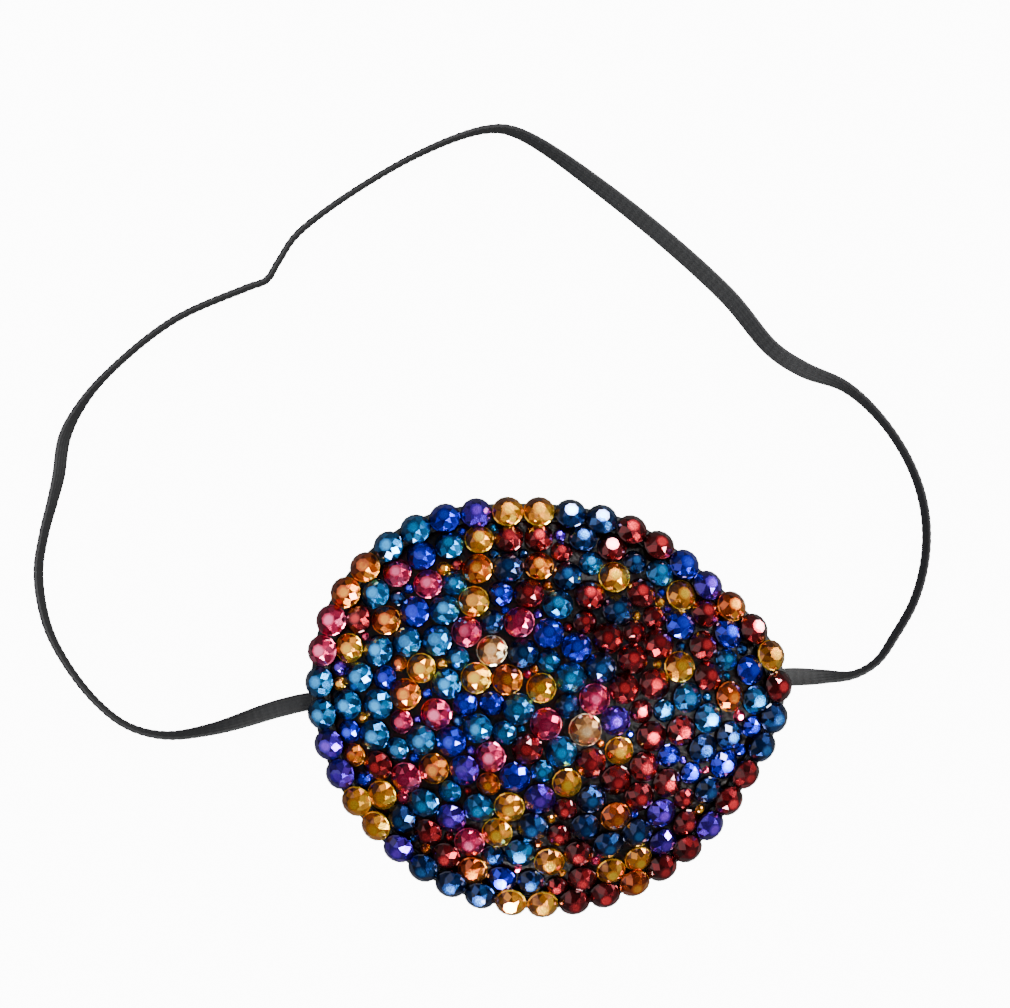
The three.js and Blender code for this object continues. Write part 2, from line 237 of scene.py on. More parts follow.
def woven(name, dark, light, threads_per_mm, sheen, roughness):
    """A plain weave: two crossed sets of threads, with a slow change of tone."""
    n = Nodes(name)
    scale = threads_per_mm * 1000
    waves = []
    for direction in ("X", "Y"):
        values = {"Vector": n.coordinates, "Scale": scale / 2, "Distortion": 0.6, "Detail": 1}
        waves.append(n.add("ShaderNodeTexWave", values, bands_direction=direction).outputs["Fac"])
    weave = n.math("MULTIPLY", *waves)
    tone = n.math("ADD", n.math("MULTIPLY", weave, 0.6), n.math("MULTIPLY", n.noise(180), 0.5))
    n.link(n.ramp(tone, [(0.2, dark), (0.85, light)]), "Base Color")
    n.set(Roughness=roughness, Sheen_Weight=sheen, Sheen_Roughness=0.4)
    n.bump(weave, 0.35, 0.00012)
    return n.material


def felt(name, dark, light):
    """Matted fibres: stretched noise at two scales."""
    n = Nodes(name)
    fibres = n.noise(2600, detail=4, roughness=0.7)
    clumps = n.noise(420, detail=2)
    tone = n.math("ADD", n.math("MULTIPLY", fibres, 0.6), n.math("MULTIPLY", clumps, 0.4))
    n.link(n.ramp(tone, [(0.3, dark), (0.7, light)]), "Base Color")
    n.set(Roughness=0.95, Sheen_Weight=0.35, Sheen_Roughness=0.6)
    n.bump(tone, 0.5, 0.0002)
    return n.material


def foam(name):
    """Moulded foam with fine open cells."""
    n = Nodes(name)
    values = {"Vector": n.coordinates, "Scale": 1800}
    cells = n.add("ShaderNodeTexVoronoi", values).outputs["Distance"]
    n.link(n.ramp(cells, [(0.1, (0.05, 0.05, 0.048)), (0.8, (0.12, 0.115, 0.11))]), "Base Color")
    n.set(Roughness=0.85)
    n.bump(cells, 0.4, 0.0001)
    return n.material


def thread(name):
    """Twisted polyester thread."""
    n = Nodes(name)
    values = {"Vector": n.coordinates, "Scale": 2600, "Distortion": 1.5}
    twist = n.add("ShaderNodeTexWave", values, bands_direction="DIAGONAL").outputs["Fac"]
    n.link(n.ramp(twist, [(0.0, (0.008, 0.008, 0.010)), (1.0, (0.035, 0.035, 0.042))]), "Base Color")
    n.set(Roughness=0.55, Sheen_Weight=0.2)
    n.bump(twist, 0.4, 0.00006)
    return n.material


def braid(name):
    """Elastic yarn: fine filaments and a slightly blue black."""
    n = Nodes(name)
    fine = n.noise(3200, detail=3, roughness=0.6)
    broad = n.noise(160, detail=2)
    tone = n.math("ADD", n.math("MULTIPLY", fine, 0.65), n.math("MULTIPLY", broad, 0.35))
    n.link(n.ramp(tone, [(0.3, (0.003, 0.0035, 0.005)), (0.75, (0.018, 0.020, 0.028))]), "Base Color")
    n.set(Roughness=0.65, Specular_IOR_Level=0.3, Sheen_Weight=0.08, Sheen_Roughness=0.45)
    n.bump(fine, 0.3, 0.00008)
    return n.material


def glue(name):
    """Clear adhesive over black cloth, with patches of painted coloured light from the stones."""
    n = Nodes(name)
    pools = n.noise(700, detail=2)
    painted_stone_light = n.ramp(n.noise(330, detail=1), [
        (0.30, (0.001, 0.003, 0.014)), (0.42, (0.002, 0.001, 0.002)), (0.50, (0.018, 0.001, 0.004)),
        (0.60, (0.002, 0.001, 0.001)), (0.70, (0.018, 0.006, 0.001)),
    ])
    n.link(painted_stone_light, "Base Color")
    n.set(Roughness=0.35, Specular_IOR_Level=0.06)
    n.bump(pools, 0.6, 0.0005)
    return n.material


# ---- Elastic ----------------------------------------------------------------------------------

ELASTIC_WIDTH = 3.0
ELASTIC_THICKNESS = 0.9
TAIL = 7
TAIL_SHARE = 0.99
TAIL_DEPTH = 1.42
ELASTIC_LEFT = (-39.9, 0.8)
ELASTIC_RIGHT = (38.1, 4.6)
# x, y and roll in degrees, as in the CAD part: 0 lies flat and 90 stands on edge.
ELASTIC_ROUTE = [
    (-44.1, -0.4, 8), (-55.7, -3.9, 55), (-63.4, -4.9, 76), (-69.4, -3.4, 85), (-74.4, 0.3, 87),
    (-79.6, 6.8, 86), (-82.9, 13.4, 82), (-84.3, 21.8, 77), (-83.4, 28.3, 76), (-82, 33.7, 70),
    (-81, 37.9, 62), (-80, 44.3, 62), (-77.7, 49, 74), (-73.4, 54.4, 84), (-62.2, 63.6, 85),
    (-49.6, 69.2, 84), (-46.6, 70.4, 86), (-44.6, 73.5, 88), (-41.3, 78.2, 88), (-22.7, 90.6, 88),
    (-10, 95.3, 80), (-5.1, 94.7, 66), (11.2, 83.8, 34), (29.4, 68.1, 23), (37.1, 59, 32),
    (42.3, 55.6, 34), (49.2, 52.7, 62), (55.1, 47.3, 76), (59.9, 39.8, 79), (62.2, 32.5, 79),
    (62.4, 25, 80), (60.6, 17.6, 80), (57.2, 11.4, 79), (54.3, 7.3, 82), (50.4, 5.1, 76),
    (45.5, 4.8, 45),
]
RIBS = 5
RIB_DEPTH = 0.13
PLAIT = 1.3  # length of one stitch of the braid
PLAIT_DEPTH = 0.05
RING_STEP = 0.3
SECTION_POINTS = 24  # on each face of the band


def band_height(roll):
    turn = math.radians(roll)
    return ELASTIC_WIDTH / 2 * abs(math.sin(turn)) + ELASTIC_THICKNESS / 2 * abs(math.cos(turn))


def band_end(x, y):
    """The rim crossing and the sewn end of one side."""
    angle = dome_place(x, y)[1]
    rim = dome_point(TAIL_SHARE, angle, -TAIL_DEPTH)
    inner = dome_point(1 - TAIL / rim_radius(angle), angle, -TAIL_DEPTH)
    return (*rim, 0), (*inner, 0)


def smooth_route(places, step):
    """A centripetal Catmull-Rom curve through places of (x, y, z, roll), a point every step or so."""
    ahead = [2 * a - b for a, b in zip(places[0], places[1])]
    behind = [2 * a - b for a, b in zip(places[-1], places[-2])]
    whole = [ahead, *[list(p) for p in places], behind]
    samples = []
    for i in range(1, len(whole) - 2):
        four = whole[i - 1 : i + 3]
        knots = [0.0]
        for a, b in zip(four, four[1:]):
            knots.append(knots[-1] + math.sqrt(math.dist(a[:3], b[:3])))
        count = max(2, round(math.dist(four[1][:3], four[2][:3]) / step))
        for k in range(count):
            t = knots[1] + (knots[2] - knots[1]) * k / count
            samples.append(between_knots(four, knots, t))
    samples.append(list(places[-1]))
    return samples


def between_knots(four, knots, t):
    """Barry and Goldman's pyramid: the curve through four places at t, between the middle two."""
    level = four
    for pairs in (((0, 1), (1, 2), (2, 3)), ((0, 2), (1, 3)), ((1, 2),)):
        level = [
            [(a * (knots[hi] - t) + b * (t - knots[lo])) / (knots[hi] - knots[lo])
             for a, b in zip(p, q)]
            for (lo, hi), p, q in zip(pairs, level, level[1:])
        ]
    return level[0]


def section(along):
    """The band's outline across its width: two ribbed faces with round edges."""
    points = []
    for face in (1, -1):
        for i in range(SECTION_POINTS):
            across = math.cos(math.pi * i / (SECTION_POINTS - 1)) * face
            edge = math.sqrt(max(0.0, 1 - abs(across) ** 5))
            rib = (across + 1) / 2 * RIBS
            ridge = 0.5 - 0.5 * math.cos(2 * math.pi * rib)
            side = 1 if int(rib) % 2 else -1
            strands = along / PLAIT + side * (rib % 1 - 0.5) * 0.5 + (face > 0) * 0.5
            plait = math.cos(2 * math.pi * strands)
            out = ELASTIC_THICKNESS / 2 - RIB_DEPTH * (1 - ridge)
            out -= PLAIT_DEPTH * (1 - plait) * ridge
            if 0 < i < SECTION_POINTS - 1 or face == 1:
                points.append((across * ELASTIC_WIDTH / 2, face * out * edge))
    return points


def elastic_strap():
    left_rim, left_inner = band_end(*ELASTIC_LEFT)
    right_rim, right_inner = band_end(*ELASTIC_RIGHT)
    lying = [(x, y, band_height(roll), roll) for x, y, roll in ELASTIC_ROUTE]
    samples = smooth_route([left_inner, left_rim, *lying, right_rim, right_inner], RING_STEP)
    centres = [Vector(s[:3]) for s in samples]
    rings = []
    along = 0.0
    for i, centre in enumerate(centres):
        before, after = centres[max(i - 1, 0)], centres[min(i + 1, len(centres) - 1)]
        ahead = (after - before).normalized()
        side = Vector((-ahead.y, ahead.x, 0)).normalized()
        up = ahead.cross(side)
        roll = math.radians(samples[i][3])
        across = side * math.cos(roll) + up * math.sin(roll)
        out = up * math.cos(roll) - side * math.sin(roll)
        along += (centre - centres[i - 1]).length if i else 0
        ring = [centre + across * a + out * b for a, b in section(along)]
        rings.append([Vector((p.x, p.y, max(p.z, 0))) for p in ring])
    bm = bmesh.new()
    tube(bm, rings)
    strap = add_object("elastic_strap_braided", bm, [braid("elastic_braid")])
    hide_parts("elastic_strap")


elastic_strap()

# ---- Stones: where they are -------------------------------------------------------------------

LARGE, SMALL = 2.5, 1.95
FILLERS = (1.6, 1.3, 1.05, 0.85, 0.7)
STONE_SINK = 0.2
STONE_GAP = 0.03
EDGE_OVERHANG = 0.25
EDGE_INSET = 1.6
ROW_PITCH = 4.82
ROW_START = math.radians(135)
SPREAD_ROUNDS = 90
GROWTH = 1.2
LOOSENESS = 1.3  # how far the stones inside the edge row may stray from their row, edge to edge
FILLER_SHARE = 0.885
FILLER_STEPS = 133
FILLER_STEP = 0.3
ROWS = [
    "TTBVGGNNRRBVORGRNNRRVRRORRGGNNNVGGVVTTPPOO",
    "PBTGRRrNRnTGRBtBTbNBNrRVGGRrNBORRNGRobTTGROT",
    "PtONONtGRrBRROTNbRVNNRGTnPVTPtTTbTTB",
    "TGbRTRNrRGTRbRRONrNGTtOTpOGT",
    "PnPBrRRRtRGRNrVGoVBPTt",
    "WNtBNRrVRGtBPTbG",
    "OGTPWTRtb",
    "TnP",
]
FILLER_LETTERS = "TBVGORPN"


def row_places(share, count):
    """Points spaced evenly along the row at this share, clockwise from ROW_START."""
    samples = 720
    points = [dome_point(share, ROW_START - i / samples * 2 * math.pi) for i in range(samples + 1)]
    along = [0.0]
    for a, b in zip(points, points[1:]):
        along.append(along[-1] + (b - a).length)
    places, i = [], 1
    for k in range(count):
        target = k * along[-1] / count
        while along[i] < target:
            i += 1
        part = (target - along[i - 1]) / (along[i] - along[i - 1])
        places.append(points[i - 1].lerp(points[i], part))
    return places


def wobble(n):
    """A repeatable number from -0.5 to 0.5."""
    value = math.sin(n * 12.9898) * 43758.5453
    return value - math.floor(value) - 0.5


def settle(stone):
    """Brings the stone's height on the dome up to date."""
    stone["z"] = dome_point(*dome_place(stone["x"], stone["y"])).z


def room_between(a, b):
    """The clear distance between two stones along the dome, below 0 if they overlap."""
    overhang = 0 if (a["row"] == 0) == (b["row"] == 0) else EDGE_OVERHANG
    apart = math.hypot(b["x"] - a["x"], b["y"] - a["y"], b["z"] - a["z"])
    return apart - a["radius"] - b["radius"] - STONE_GAP + overhang


def spread(stones):
    for i, a in enumerate(stones):
        for b in stones[i + 1 :]:
            if abs(b["x"] - a["x"]) > 2 * LARGE + 1 or b["row"] == 0:
                continue
            short = -room_between(a, b)
            if short <= 0:
                continue
            share = 0 if a["row"] == 0 else 0.5
            apart = math.hypot(b["x"] - a["x"], b["y"] - a["y"])
            dx, dy = (b["x"] - a["x"]) / apart * short, (b["y"] - a["y"]) / apart * short
            a["x"] -= dx * share
            a["y"] -= dy * share
            b["x"] += dx * (1 - share)
            b["y"] += dy * (1 - share)
            settle(a)
            settle(b)


def room_around(stone, stones):
    return min(room_between(stone, other) for other in stones if other is not stone)


def empty_places(stones):
    """The grid points inside the field that no stone covers, in the order they are tried."""
    steps = range(-FILLER_STEPS, FILLER_STEPS)
    places = []
    for y in (j * FILLER_STEP for j in steps):
        for x in (i * FILLER_STEP for i in steps):
            if dome_place(x, y)[0] > FILLER_SHARE:
                continue
            point = {"row": -1, "x": x, "y": y, "radius": FILLERS[-1]}
            settle(point)
            if room_around(point, stones) >= 0:
                places.append(point)
    return places


def fill_gaps(stones):
    found = []
    places = empty_places(stones)
    for radius in FILLERS:
        for place in places:
            filler = {**place, "radius": radius}
            if room_around(filler, stones + found) < 0:
                continue
            pick = int((wobble(len(found) + 7) + 0.5) * len(FILLER_LETTERS))
            filler["letter"] = FILLER_LETTERS[pick]
            found.append(filler)
    return found


def stone_plan():
    stones = []
    for row, letters in enumerate(ROWS):
        share = max(0, 1 - (EDGE_INSET + row * ROW_PITCH) / RIM_MEAN)
        for letter, place in zip(letters, row_places(share, len(letters))):
            loose = LOOSENESS if row else 0
            n = 2 * len(stones) + 1
            stones.append({
                "letter": letter.upper(), "row": row,
                "radius": LARGE if letter.isupper() else SMALL,
                "x": place.x + loose * wobble(n), "y": place.y + loose * wobble(n + 1),
            })
            settle(stones[-1])
    for _ in range(SPREAD_ROUNDS):
        spread(stones)
    for stone in stones:
        if stone["row"]:
            grown = stone["radius"] + room_around(stone, stones)
            stone["radius"] = min(stone["radius"] * GROWTH, grown)
    return stones + fill_gaps(stones)


# ---- Stones: how they are cut and coloured ----------------------------------------------------

FACETS = 8
TABLE = 0.44  # of the stone's radius
PAINTED_HIGHLIGHT_RADIUS = 0.2  # radius of the painted highlight in the middle of the table
TABLE_HEIGHT = 0.8
STAR = (0.72, 0.58)  # share of the radius, then height, of the ring between table and girdle
GIRDLE = (0.16, 0.26)  # heights of the girdle's lower and upper edges
BEVEL = (0.93, 0.32)  # share of the radius, then height, of the ring just above the girdle
FOIL = (0.8, 0.0)  # the foiled back's share of the radius, and its height
EDGE_LIFT = 3 * GAP + BINDING + FILM
FIELD_LIFT = GAP + FILM - STONE_SINK

# The painted highlight colour of the upper facets, the body of the stone, and the painted shade
# colour of its lower facets, in linear colour.
STONE_COLOURS = {
    "T": ("teal", (0.01, 0.42, 1.0), (0.003, 0.12, 0.34), (0.001, 0.012, 0.05)),
    "B": ("cobalt", (0.02, 0.07, 1.0), (0.002, 0.004, 0.48), (0.001, 0.001, 0.07)),
    "V": ("violet", (0.22, 0.04, 0.9), (0.040, 0.003, 0.34), (0.010, 0.001, 0.07)),
    "G": ("gold", (1.0, 0.58, 0.02), (0.85, 0.28, 0.006), (0.14, 0.03, 0.001)),
    "O": ("orange", (1.0, 0.36, 0.02), (0.50, 0.075, 0.004), (0.09, 0.008, 0.001)),
    "R": ("red", (0.80, 0.035, 0.045), (0.14, 0.004, 0.008), (0.020, 0.001, 0.002)),
    "P": ("rose", (1.0, 0.16, 0.34), (0.50, 0.010, 0.075), (0.10, 0.002, 0.015)),
    "N": ("navy", (0.02, 0.15, 0.45), (0.003, 0.022, 0.11), (0.001, 0.003, 0.018)),
    "W": ("champagne", (1.0, 0.82, 0.50), (0.80, 0.38, 0.12), (0.24, 0.07, 0.012)),
}
SNUG = 1.035  # the cut stones against the plan's radius, so that neighbours touch
TILT = math.radians(7)  # how far a stone may lean as it was pressed into the adhesive
PAINTED_RIM_TONES = {"G": 1.1, "W": 1.1, "O": 0.75, "P": 0.7}  # painted rim highlight tone of the outermost facets; the rest are painted dark
# Painted shade tone of the outermost facets of the other colours.
DARK_PAINTED_RIM = 0.18
METALLIC = {"G": 0.75, "W": 0.75}  # of the foil, for the pale colours
DARK_METALLIC = 0.92
PAINTED_GLOW_SIDE = math.radians(-35)  # the side of each stone that is painted brighter, standing in for light from the upper left coming back out of the glass
PAINTED_GLOW_SHARE = {"G": 0.55, "W": 0.4, "O": 0.4}  # how much brighter that side is painted, for the pale ones
# How much brighter that side is painted on the dark colours.
DARK_PAINTED_GLOW_SHARE = 0.22


def stone_material(name, metallic, painted_glow, body, dark):
    """Foiled glass under a polished skin; the tone of each facet comes from a point attribute, which
    paints highlights and shade onto the facets.
    """
    n = Nodes(f"stone_{name}")
    tone = n.add("ShaderNodeAttribute", attribute_name="tone").outputs["Fac"]
    ripple = n.math("MULTIPLY", n.math("SUBTRACT", n.noise(900, detail=1), 0.5), 0.35)
    fac = n.math("ADD", tone, ripple)
    n.link(n.ramp(fac, [(0.05, dark), (0.5, body), (0.95, painted_glow)]), "Base Color")
    n.set(Metallic=metallic, Roughness=0.22, Coat_Weight=0.35, Coat_Roughness=0.03, Coat_IOR=1.6)
    return n.material


def stone_rings(radius, turn):
    """The rings of points of one cut stone about its own axis, from the foil up to the table."""

    def ring(share, height, count, shift):
        points = []
        for i in range(count):
            angle = turn + (i + shift) * 2 * math.pi / count
            point = Vector((share * math.cos(angle), share * math.sin(angle), height))
            points.append(point * radius)
        return points

    return {
        "foil": ring(*FOIL, 2 * FACETS, 0),
        "low": ring(1, GIRDLE[0], 2 * FACETS, 0),
        "high": ring(1, GIRDLE[1], 2 * FACETS, 0),
        "bevel": ring(*BEVEL, 2 * FACETS, 0),
        "star": ring(*STAR, FACETS, 0.5),
        "table": ring(TABLE, TABLE_HEIGHT, FACETS, 0),
        "painted_glow": ring(PAINTED_HIGHLIGHT_RADIUS, TABLE_HEIGHT + 0.004, FACETS, 0),
    }


def cut_stone(bm, painted_facet_tones, place, radius, seed, painted_rim_tone, painted_glow_share):
    """One faceted flat-backed stone; every facet has its own vertices and its own tones of painted
    light and shade.
    """
    rings = stone_rings(radius, wobble(seed) * 2 * math.pi)
    foil, low, high, bevel = (rings[k] for k in ("foil", "low", "high", "bevel"))
    star, table, painted_glow = (rings[k] for k in ("star", "table", "painted_glow"))

    def facet(points, *levels):
        """One facet, with one painted tone or a tone for each corner, painted brighter on the glowing
        side.
        """
        bm.faces.new([bm.verts.new(place @ p) for p in points])
        levels = levels if len(levels) > 1 else levels * len(points)
        middle = sum(points, Vector()) / len(points) / radius
        side = middle.x * math.cos(PAINTED_GLOW_SIDE) + middle.y * math.sin(PAINTED_GLOW_SIDE)
        painted_facet_tones.extend(level + painted_glow_share * side for level in levels)

    def varied(k, base, spread_by):
        return base + spread_by * wobble(seed * 31 + k)

    count = 2 * FACETS
    # The foil back and the facets below the girdle get a low painted-shade tone.
    facet(list(reversed(foil)), 0.1)
    for i in range(count):
        j = (i + 1) % count
        facet([foil[i], foil[j], low[j], low[i]], 0.1)
        # The girdle and the bevel ring above it take the painted rim tone.
        facet([low[i], low[j], high[j], high[i]], varied(i, painted_rim_tone, 0.2))
        facet([high[i], high[j], bevel[j], bevel[i]], varied(i + 20, painted_rim_tone, 0.5))
    # The crown facets get middling painted tones; the table's middle gets a painted highlight tone.
    painted_highlight_tone = varied(200, 0.8, 0.5)
    for i in range(FACETS):
        j = (i + 1) % FACETS
        # The star ring sits half a step round, over the odd points of the bevel.
        a, b, c = bevel[2 * i], bevel[2 * i + 1], bevel[(2 * i + 2) % count]
        facet([a, b, star[i]], varied(40 + i, 0.3, 0.5))
        facet([b, c, star[i]], varied(60 + i, 0.3, 0.5))
        facet([c, star[j], table[j], star[i]], varied(80 + i, 0.45, 0.6))
        facet([star[i], table[j], table[i]], varied(100 + i, 0.35, 0.4))
        facet([table[i], table[j], painted_glow[j], painted_glow[i]], 0.4, 0.4, painted_highlight_tone, painted_highlight_tone)
    facet(painted_glow, painted_highlight_tone)


def stones_of(letter, stones):
    """All the stones of one colour as one piece, which replaces those that the CAD has apart."""
    name, *colours = STONE_COLOURS[letter]
    bm = bmesh.new()
    painted_facet_tones = []
    replaced = []
    for index, stone in enumerate(stones):
        if stone["letter"] != letter:
            continue
        lift = FIELD_LIFT if stone["row"] else EDGE_LIFT
        lean = Matrix.Rotation(TILT * wobble(3 * index + 1), 4, "X")
        lean = lean @ Matrix.Rotation(TILT * wobble(3 * index + 2), 4, "Y")
        place = dome_frame(stone["x"], stone["y"], lift) @ lean
        cut_stone(
            bm, painted_facet_tones, place, stone["radius"] * SNUG, index + 1,
            PAINTED_RIM_TONES.get(letter, DARK_PAINTED_RIM), PAINTED_GLOW_SHARE.get(letter, DARK_PAINTED_GLOW_SHARE),
        )
        if stone["row"] == 0:
            replaced.append(f"edge_stone_{index + 1:02d}")
    material = stone_material(name, METALLIC.get(letter, DARK_METALLIC), *colours)
    mesh_piece = add_stones(f"stones_{name}", bm, painted_facet_tones, material)
    if replaced:
        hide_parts(*replaced)


def add_stones(name, bm, painted_facet_tones, material):
    """The piece with flat facets and the painted light-and-shade tone of every vertex."""
    mesh = bpy.data.meshes.new(name)
    bm.to_mesh(mesh)
    bm.free()
    mesh.transform(Matrix.Scale(MM, 4))
    mesh.materials.append(material)
    layer = mesh.attributes.new("tone", "FLOAT", "POINT")
    layer.data.foreach_set("value", painted_facet_tones)
    piece = bpy.data.objects.new(name, mesh)
    bpy.context.scene.collection.objects.link(piece)
    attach(piece, "root")
    return piece


plan = stone_plan()
for letter in STONE_COLOURS:
    stones_of(letter, plan)

# ---- Cloth layers -----------------------------------------------------------------------------

AROUND = 180
SHELL_STEPS = 22  # from the middle to the edge
BINDING_TURNS = 7
BINDING_NOSE = 0.55  # how deep the fold at the rim is rounded
BINDING_BEND = 0.75  # inside the fold
COVER_SHARE = 0.985
STIFFENER_SHARE = 0.94
LINING_SHARE = 0.945
LINING_FOOT = BINDING + GAP


def shell(name, share, top, bottom, foot, material, puff=0.0):
    """A domed layer between two depths below the outer face, from the middle out to share."""
    bm = bmesh.new()
    steps = [k / SHELL_STEPS for k in range(1, SHELL_STEPS + 1)]

    def point(s, angle, depth):
        p = dome_point(s, angle, -depth)
        p.z += puff * noise.noise(Vector((p.x, p.y, depth)) * 0.5)
        p.z = max(p.z, foot)
        return p

    sides = []
    for depth in (top, bottom):
        middle = bm.verts.new(point(0, 0, depth))
        rings = []
        for s in steps:
            angles = [2 * math.pi * i / AROUND for i in range(AROUND)]
            rings.append([bm.verts.new(point(s * share, a, depth)) for a in angles])
        for i in range(AROUND):
            bm.faces.new((middle, rings[0][i], rings[0][(i + 1) % AROUND]))
        for first, second in zip(rings, rings[1:]):
            bridge(bm, first, second)
        sides.append(rings[-1])
    bridge(bm, *sides)
    return add_object(name, bm, [material])


def edge_binding():
    """The tape wrapped round the rim: a rounded channel section swept round the patch."""
    bm = bmesh.new()
    rings = []
    for i in range(AROUND * 2):
        angle = 2 * math.pi * i / (AROUND * 2)
        rim = dome_point(1, angle)
        inner = dome_point(BINDING_SHARE, angle)
        rise = inner.z - rim.z
        reach = math.hypot(inner.x - rim.x, inner.y - rim.y)
        out = Vector((math.cos(angle), math.sin(angle), 0))
        base = Vector((rim.x, rim.y, 0))
        top = rim.z
        outline = binding_outline(reach, rise, top)
        ripple = 0.05 * noise.noise(rim * 0.9)
        rings.append([
            base + out * (px + ripple * (px > -0.2)) + Vector((0, 0, pz)) for px, pz in outline
        ])
    made = [[bm.verts.new(p) for p in ring] for ring in rings]
    for first, second in zip(made, made[1:] + made[:1]):
        bridge(bm, first, second)
    return add_object("edge_binding_tape", bm, [woven(
        "binding_tape", (0.004, 0.004, 0.005), (0.028, 0.028, 0.034), 3, 0.4, 0.7)])


def binding_outline(reach, rise, top):
    """Points (out from the rim, height) round the section of the binding, outer face then inner."""
    thick = BINDING
    legs = [(-reach, top + rise + thick), (-reach * 0.5, top + rise * 0.52 + thick)]
    nose = []
    height = top + thick
    for k in range(BINDING_TURNS + 1):
        turn = math.pi / 2 - math.pi * k / BINDING_TURNS
        bulge = math.cos(turn) ** 0.6 if math.cos(turn) > 1e-6 else 0
        nose.append((-BINDING_NOSE + BINDING_NOSE * bulge, height / 2 + height / 2 * math.sin(turn)))
    outer = legs + nose + [(-reach, 0)]
    inner = [
        (-reach, thick), (-BINDING_BEND, thick), (-thick, thick + 0.5), (-thick, top - 0.3),
        (-BINDING_BEND, top + rise * 0.25), (-reach * 0.5, top + rise * 0.52), (-reach, top + rise),
    ]
    return outer + inner


cover_weave = woven("cover_satin", (0.003, 0.003, 0.004), (0.02, 0.02, 0.026), 4, 0.3, 0.5)
cover = shell("front_cover_satin", COVER_SHARE, 0, COVER, 0, cover_weave)
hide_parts("front_cover")

stiffener = shell("stiffener_foam", STIFFENER_SHARE, COVER + GAP, COVER + STIFFENER + GAP,
                  LINING_FOOT, foam("stiffener_foam"), 0.02)
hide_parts("stiffener")

lining = shell("back_lining_felt", LINING_SHARE, UNDER_LINING - LINING - GAP, UNDER_LINING - GAP,
               LINING_FOOT, felt("lining_felt", (0.004, 0.004, 0.005), (0.03, 0.03, 0.034)), 0.12)
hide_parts("back_lining")

binding = edge_binding()
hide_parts("edge_binding")


# ---- Thread and glue --------------------------------------------------------------------------

THREAD = 0.3
STITCH_SHARE = 0.885
STITCHES = 92
STITCH_RADIUS = 0.14
TACK_INSET = 0.97
TACK_PASSES = 9
TACK_LENGTH = 1.6
TACK_MARGIN = 0.15  # from each edge of the elastic
TACK_RADIUS = 0.11
FIELD_SHARE = 0.915
EDGE_FILM_SHARES = (0.94, 0.975)


def strand(bm, points, radius, sides=6):
    """A round thread through points, drawn in at both ends."""
    rings = []
    for i, point in enumerate(points):
        before, after = points[max(i - 1, 0)], points[min(i + 1, len(points) - 1)]
        ahead = (after - before).normalized()
        side = ahead.orthogonal().normalized()
        up = ahead.cross(side)
        size = radius * (0.5 if i in (0, len(points) - 1) else 1)
        turns = [2 * math.pi * k / sides for k in range(sides)]
        rings.append([point + (side * math.cos(t) + up * math.sin(t)) * size for t in turns])
    tube(bm, rings)


def rim_stitching(material):
    """A row of lockstitches on the lining, just inside the binding."""
    bm = bmesh.new()
    middle = STITCH_SHARE + THREAD / 2 / RIM_MEAN
    for k in range(STITCHES):
        points = []
        for step in range(5):
            angle = 2 * math.pi * (k + 0.08 + 0.84 * step / 4) / STITCHES
            sag = 0.1 * math.sin(math.pi * step / 4)
            points.append(dome_point(middle, angle, -(UNDER_LINING + 0.08 + sag)))
        strand(bm, points, STITCH_RADIUS)
    return add_object("rim_stitches", bm, [material])


def bar_tack(name, end, material):
    """The thread that sews one end of the elastic to the lining, in close zigzag passes."""
    inner = band_end(*end)[1]
    x, y = inner[0] * TACK_INSET, inner[1] * TACK_INSET
    place = dome_frame(x, y, -(UNDER_LINING + THREAD))
    along = (Vector((x, y)) - Vector(RIM_MIDDLE)).normalized()
    bm = bmesh.new()
    points = []
    for k in range(TACK_PASSES * 2 + 1):
        run = (k / (TACK_PASSES * 2) - 0.5) * TACK_LENGTH
        swing = (1 if k % 2 else -1) * (ELASTIC_WIDTH / 2 - TACK_MARGIN)
        flat = along * run + Vector((-along.y, along.x)) * swing
        points.append(place @ Vector((flat.x, flat.y, 0.06 * (k % 2))))
    strand(bm, points, TACK_RADIUS)
    return add_object(name, bm, [material])


def glue_ring(name, shares, lift, thick, material, steps, ragged):
    """A film of adhesive between two shares, with a ragged edge and a pooled top."""
    bm = bmesh.new()
    rows = []
    for level_lift, pooled in ((lift + thick, True), (lift, False)):
        rings = []
        for k in range(steps + 1):
            share = shares[0] + (shares[1] - shares[0]) * k / steps
            ring = []
            for i in range(AROUND * 2):
                angle = math.pi * i / AROUND
                p = dome_point(share, angle, level_lift)
                if k in (0, steps) and ragged:
                    push = ragged * noise.noise(p * 0.8)
                    p += Vector((math.cos(angle), math.sin(angle), 0)) * push
                if pooled and 0 < k < steps:
                    p.z += 0.05 * noise.noise(p * 1.1)
                ring.append(bm.verts.new(p))
            rings.append(ring)
        for first, second in zip(rings, rings[1:]):
            bridge(bm, first, second)
        rows.append(rings)
    bridge(bm, rows[0][-1], rows[1][-1])
    bridge(bm, rows[0][0], rows[1][0])
    return add_object(name, bm, [material])


sewing_thread = thread("sewing_thread")
for made, node in (
    (rim_stitching(sewing_thread), "rim_stitching"),
    (bar_tack("bar_tack_left_thread", ELASTIC_LEFT, sewing_thread), "bar_tack_left"),
    (bar_tack("bar_tack_right_thread", ELASTIC_RIGHT, sewing_thread), "bar_tack_right"),
):
    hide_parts(node)

adhesive = glue("adhesive")
edge_glue = glue_ring(
    "edge_adhesive_bead", EDGE_FILM_SHARES, 2 * GAP + BINDING, FILM, adhesive, 4, 0.15)
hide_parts("edge_adhesive")
bed = glue_ring("adhesive_bed", (0.004, FIELD_SHARE), GAP, FILM, adhesive, 60, 0.2)
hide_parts("stone_field")

# ---- Floor and light --------------------------------------------------------------------------


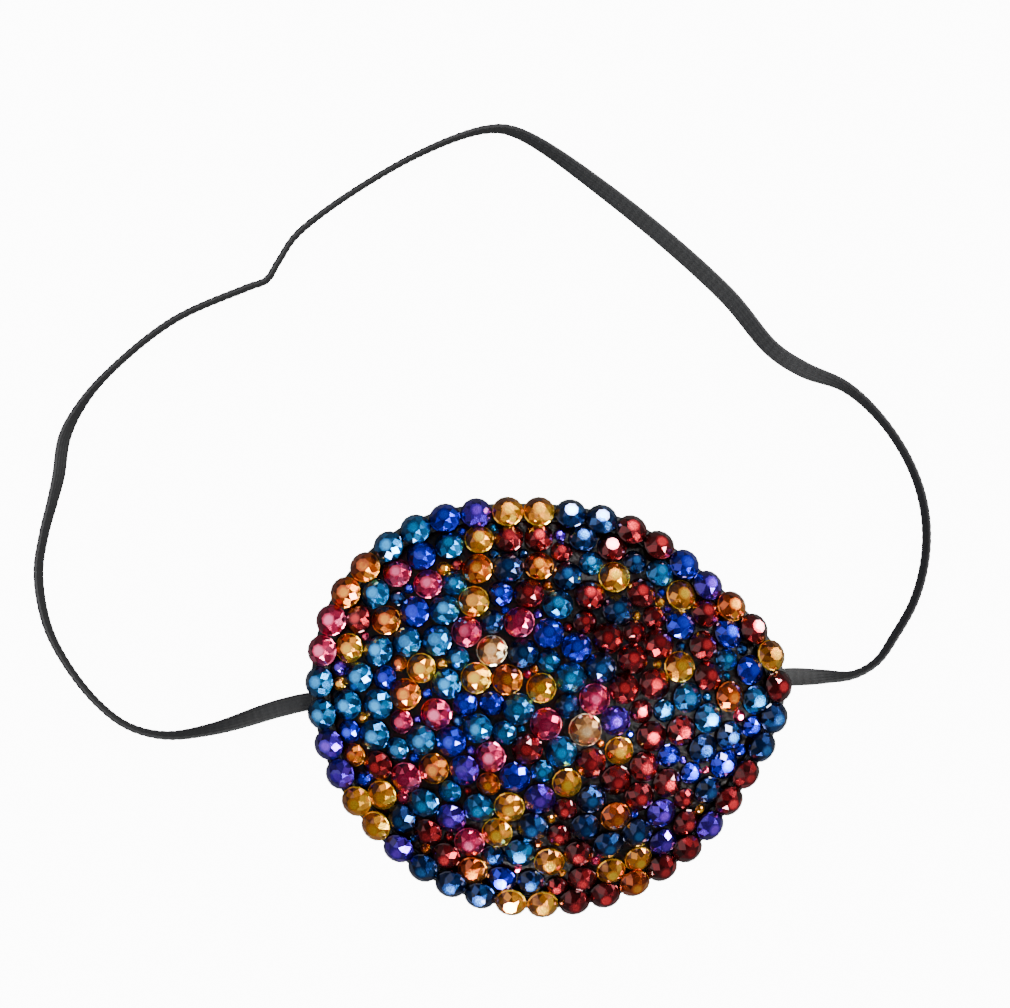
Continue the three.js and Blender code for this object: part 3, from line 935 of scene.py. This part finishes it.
def add_floor():
    bm = bmesh.new()
    bmesh.ops.create_grid(bm, x_segments=4, y_segments=4, size=3)
    mesh = bpy.data.meshes.new("floor")
    bm.to_mesh(mesh)
    bm.free()
    n = Nodes("floor")
    paper = n.noise(6, detail=2)
    n.link(n.ramp(paper, [(0.3, (0.90, 0.90, 0.90)), (0.7, (0.92, 0.92, 0.92))]), "Base Color")
    n.set(Roughness=0.9, Emission_Color=(1, 1, 1, 1), Emission_Strength=FLOOR_GLOW)
    mesh.materials.append(n.material)
    floor = bpy.data.objects.new("floor", mesh)
    floor.location.z = -0.0002
    floor.visible_glossy = False
    floor.visible_diffuse = False
    bpy.context.scene.collection.objects.link(floor)


def add_light(name, at, size, radiance, target=(0, 0, 0)):
    """A rectangular soft box of a size in metres, seen at the same brightness from anywhere."""
    data = bpy.data.lights.new(name, "AREA")
    data.shape = "RECTANGLE"
    data.size, data.size_y = size
    data.energy = radiance * size[0] * size[1] * math.pi
    light = bpy.data.objects.new(name, data)
    light.location = Vector(at)
    light.rotation_euler = (Vector(target) - Vector(at)).to_track_quat("-Z", "Y").to_euler()
    bpy.context.scene.collection.objects.link(light)
    return light


def add_world():
    """A dark ceiling over a brighter horizon."""
    world = bpy.data.worlds.new("studio")
    world.use_nodes = True
    tree = world.node_tree
    coordinates = tree.nodes.new("ShaderNodeTexCoord").outputs["Generated"]
    split = tree.nodes.new("ShaderNodeSeparateXYZ")
    tree.links.new(coordinates, split.inputs[0])
    ramp = tree.nodes.new("ShaderNodeValToRGB")
    tree.links.new(split.outputs["Z"], ramp.inputs["Fac"])
    elements = ramp.color_ramp.elements
    while len(elements) < len(SKY):
        elements.new(0.5)
    for element, (at, grey) in zip(elements, SKY):
        element.position = at
        element.color = (grey, grey, grey, 1)
    background = tree.nodes["Background"]
    tree.links.new(ramp.outputs["Color"], background.inputs["Color"])
    background.inputs["Strength"].default_value = SKY_STRENGTH
    bpy.context.scene.world = world


SOFT_BOX_AT = (-0.62, 0.12, 0.72)  # metres, as every light's place and size
SOFT_BOX_SIZE = (1.0, 0.8)
SOFT_BOX_RADIANCE = 1.8
# Small lamps that the stones mirror as glints.
SPARKS = [
    (0.55, -0.25, 0.5), (0.15, 0.6, 0.45), (0.6, 0.35, 0.25), (-0.1, -0.65, 0.35), (0.3, -0.1, 0.75),
]
SPARK_SIZE = (0.12, 0.12)
SPARK_RADIANCE = 170
FLOOR_GLOW = 12
SKY_STRENGTH = 0.75
SKY = [(0.0, 0.35), (0.3, 0.5), (0.6, 0.12), (1.0, 0.06)]  # sine of the elevation, grey

add_floor()
add_light("left", SOFT_BOX_AT, SOFT_BOX_SIZE, SOFT_BOX_RADIANCE)
for spark, at in enumerate(SPARKS):
    add_light(f"spark_{spark}", at, SPARK_SIZE, SPARK_RADIANCE).visible_diffuse = False
add_world()
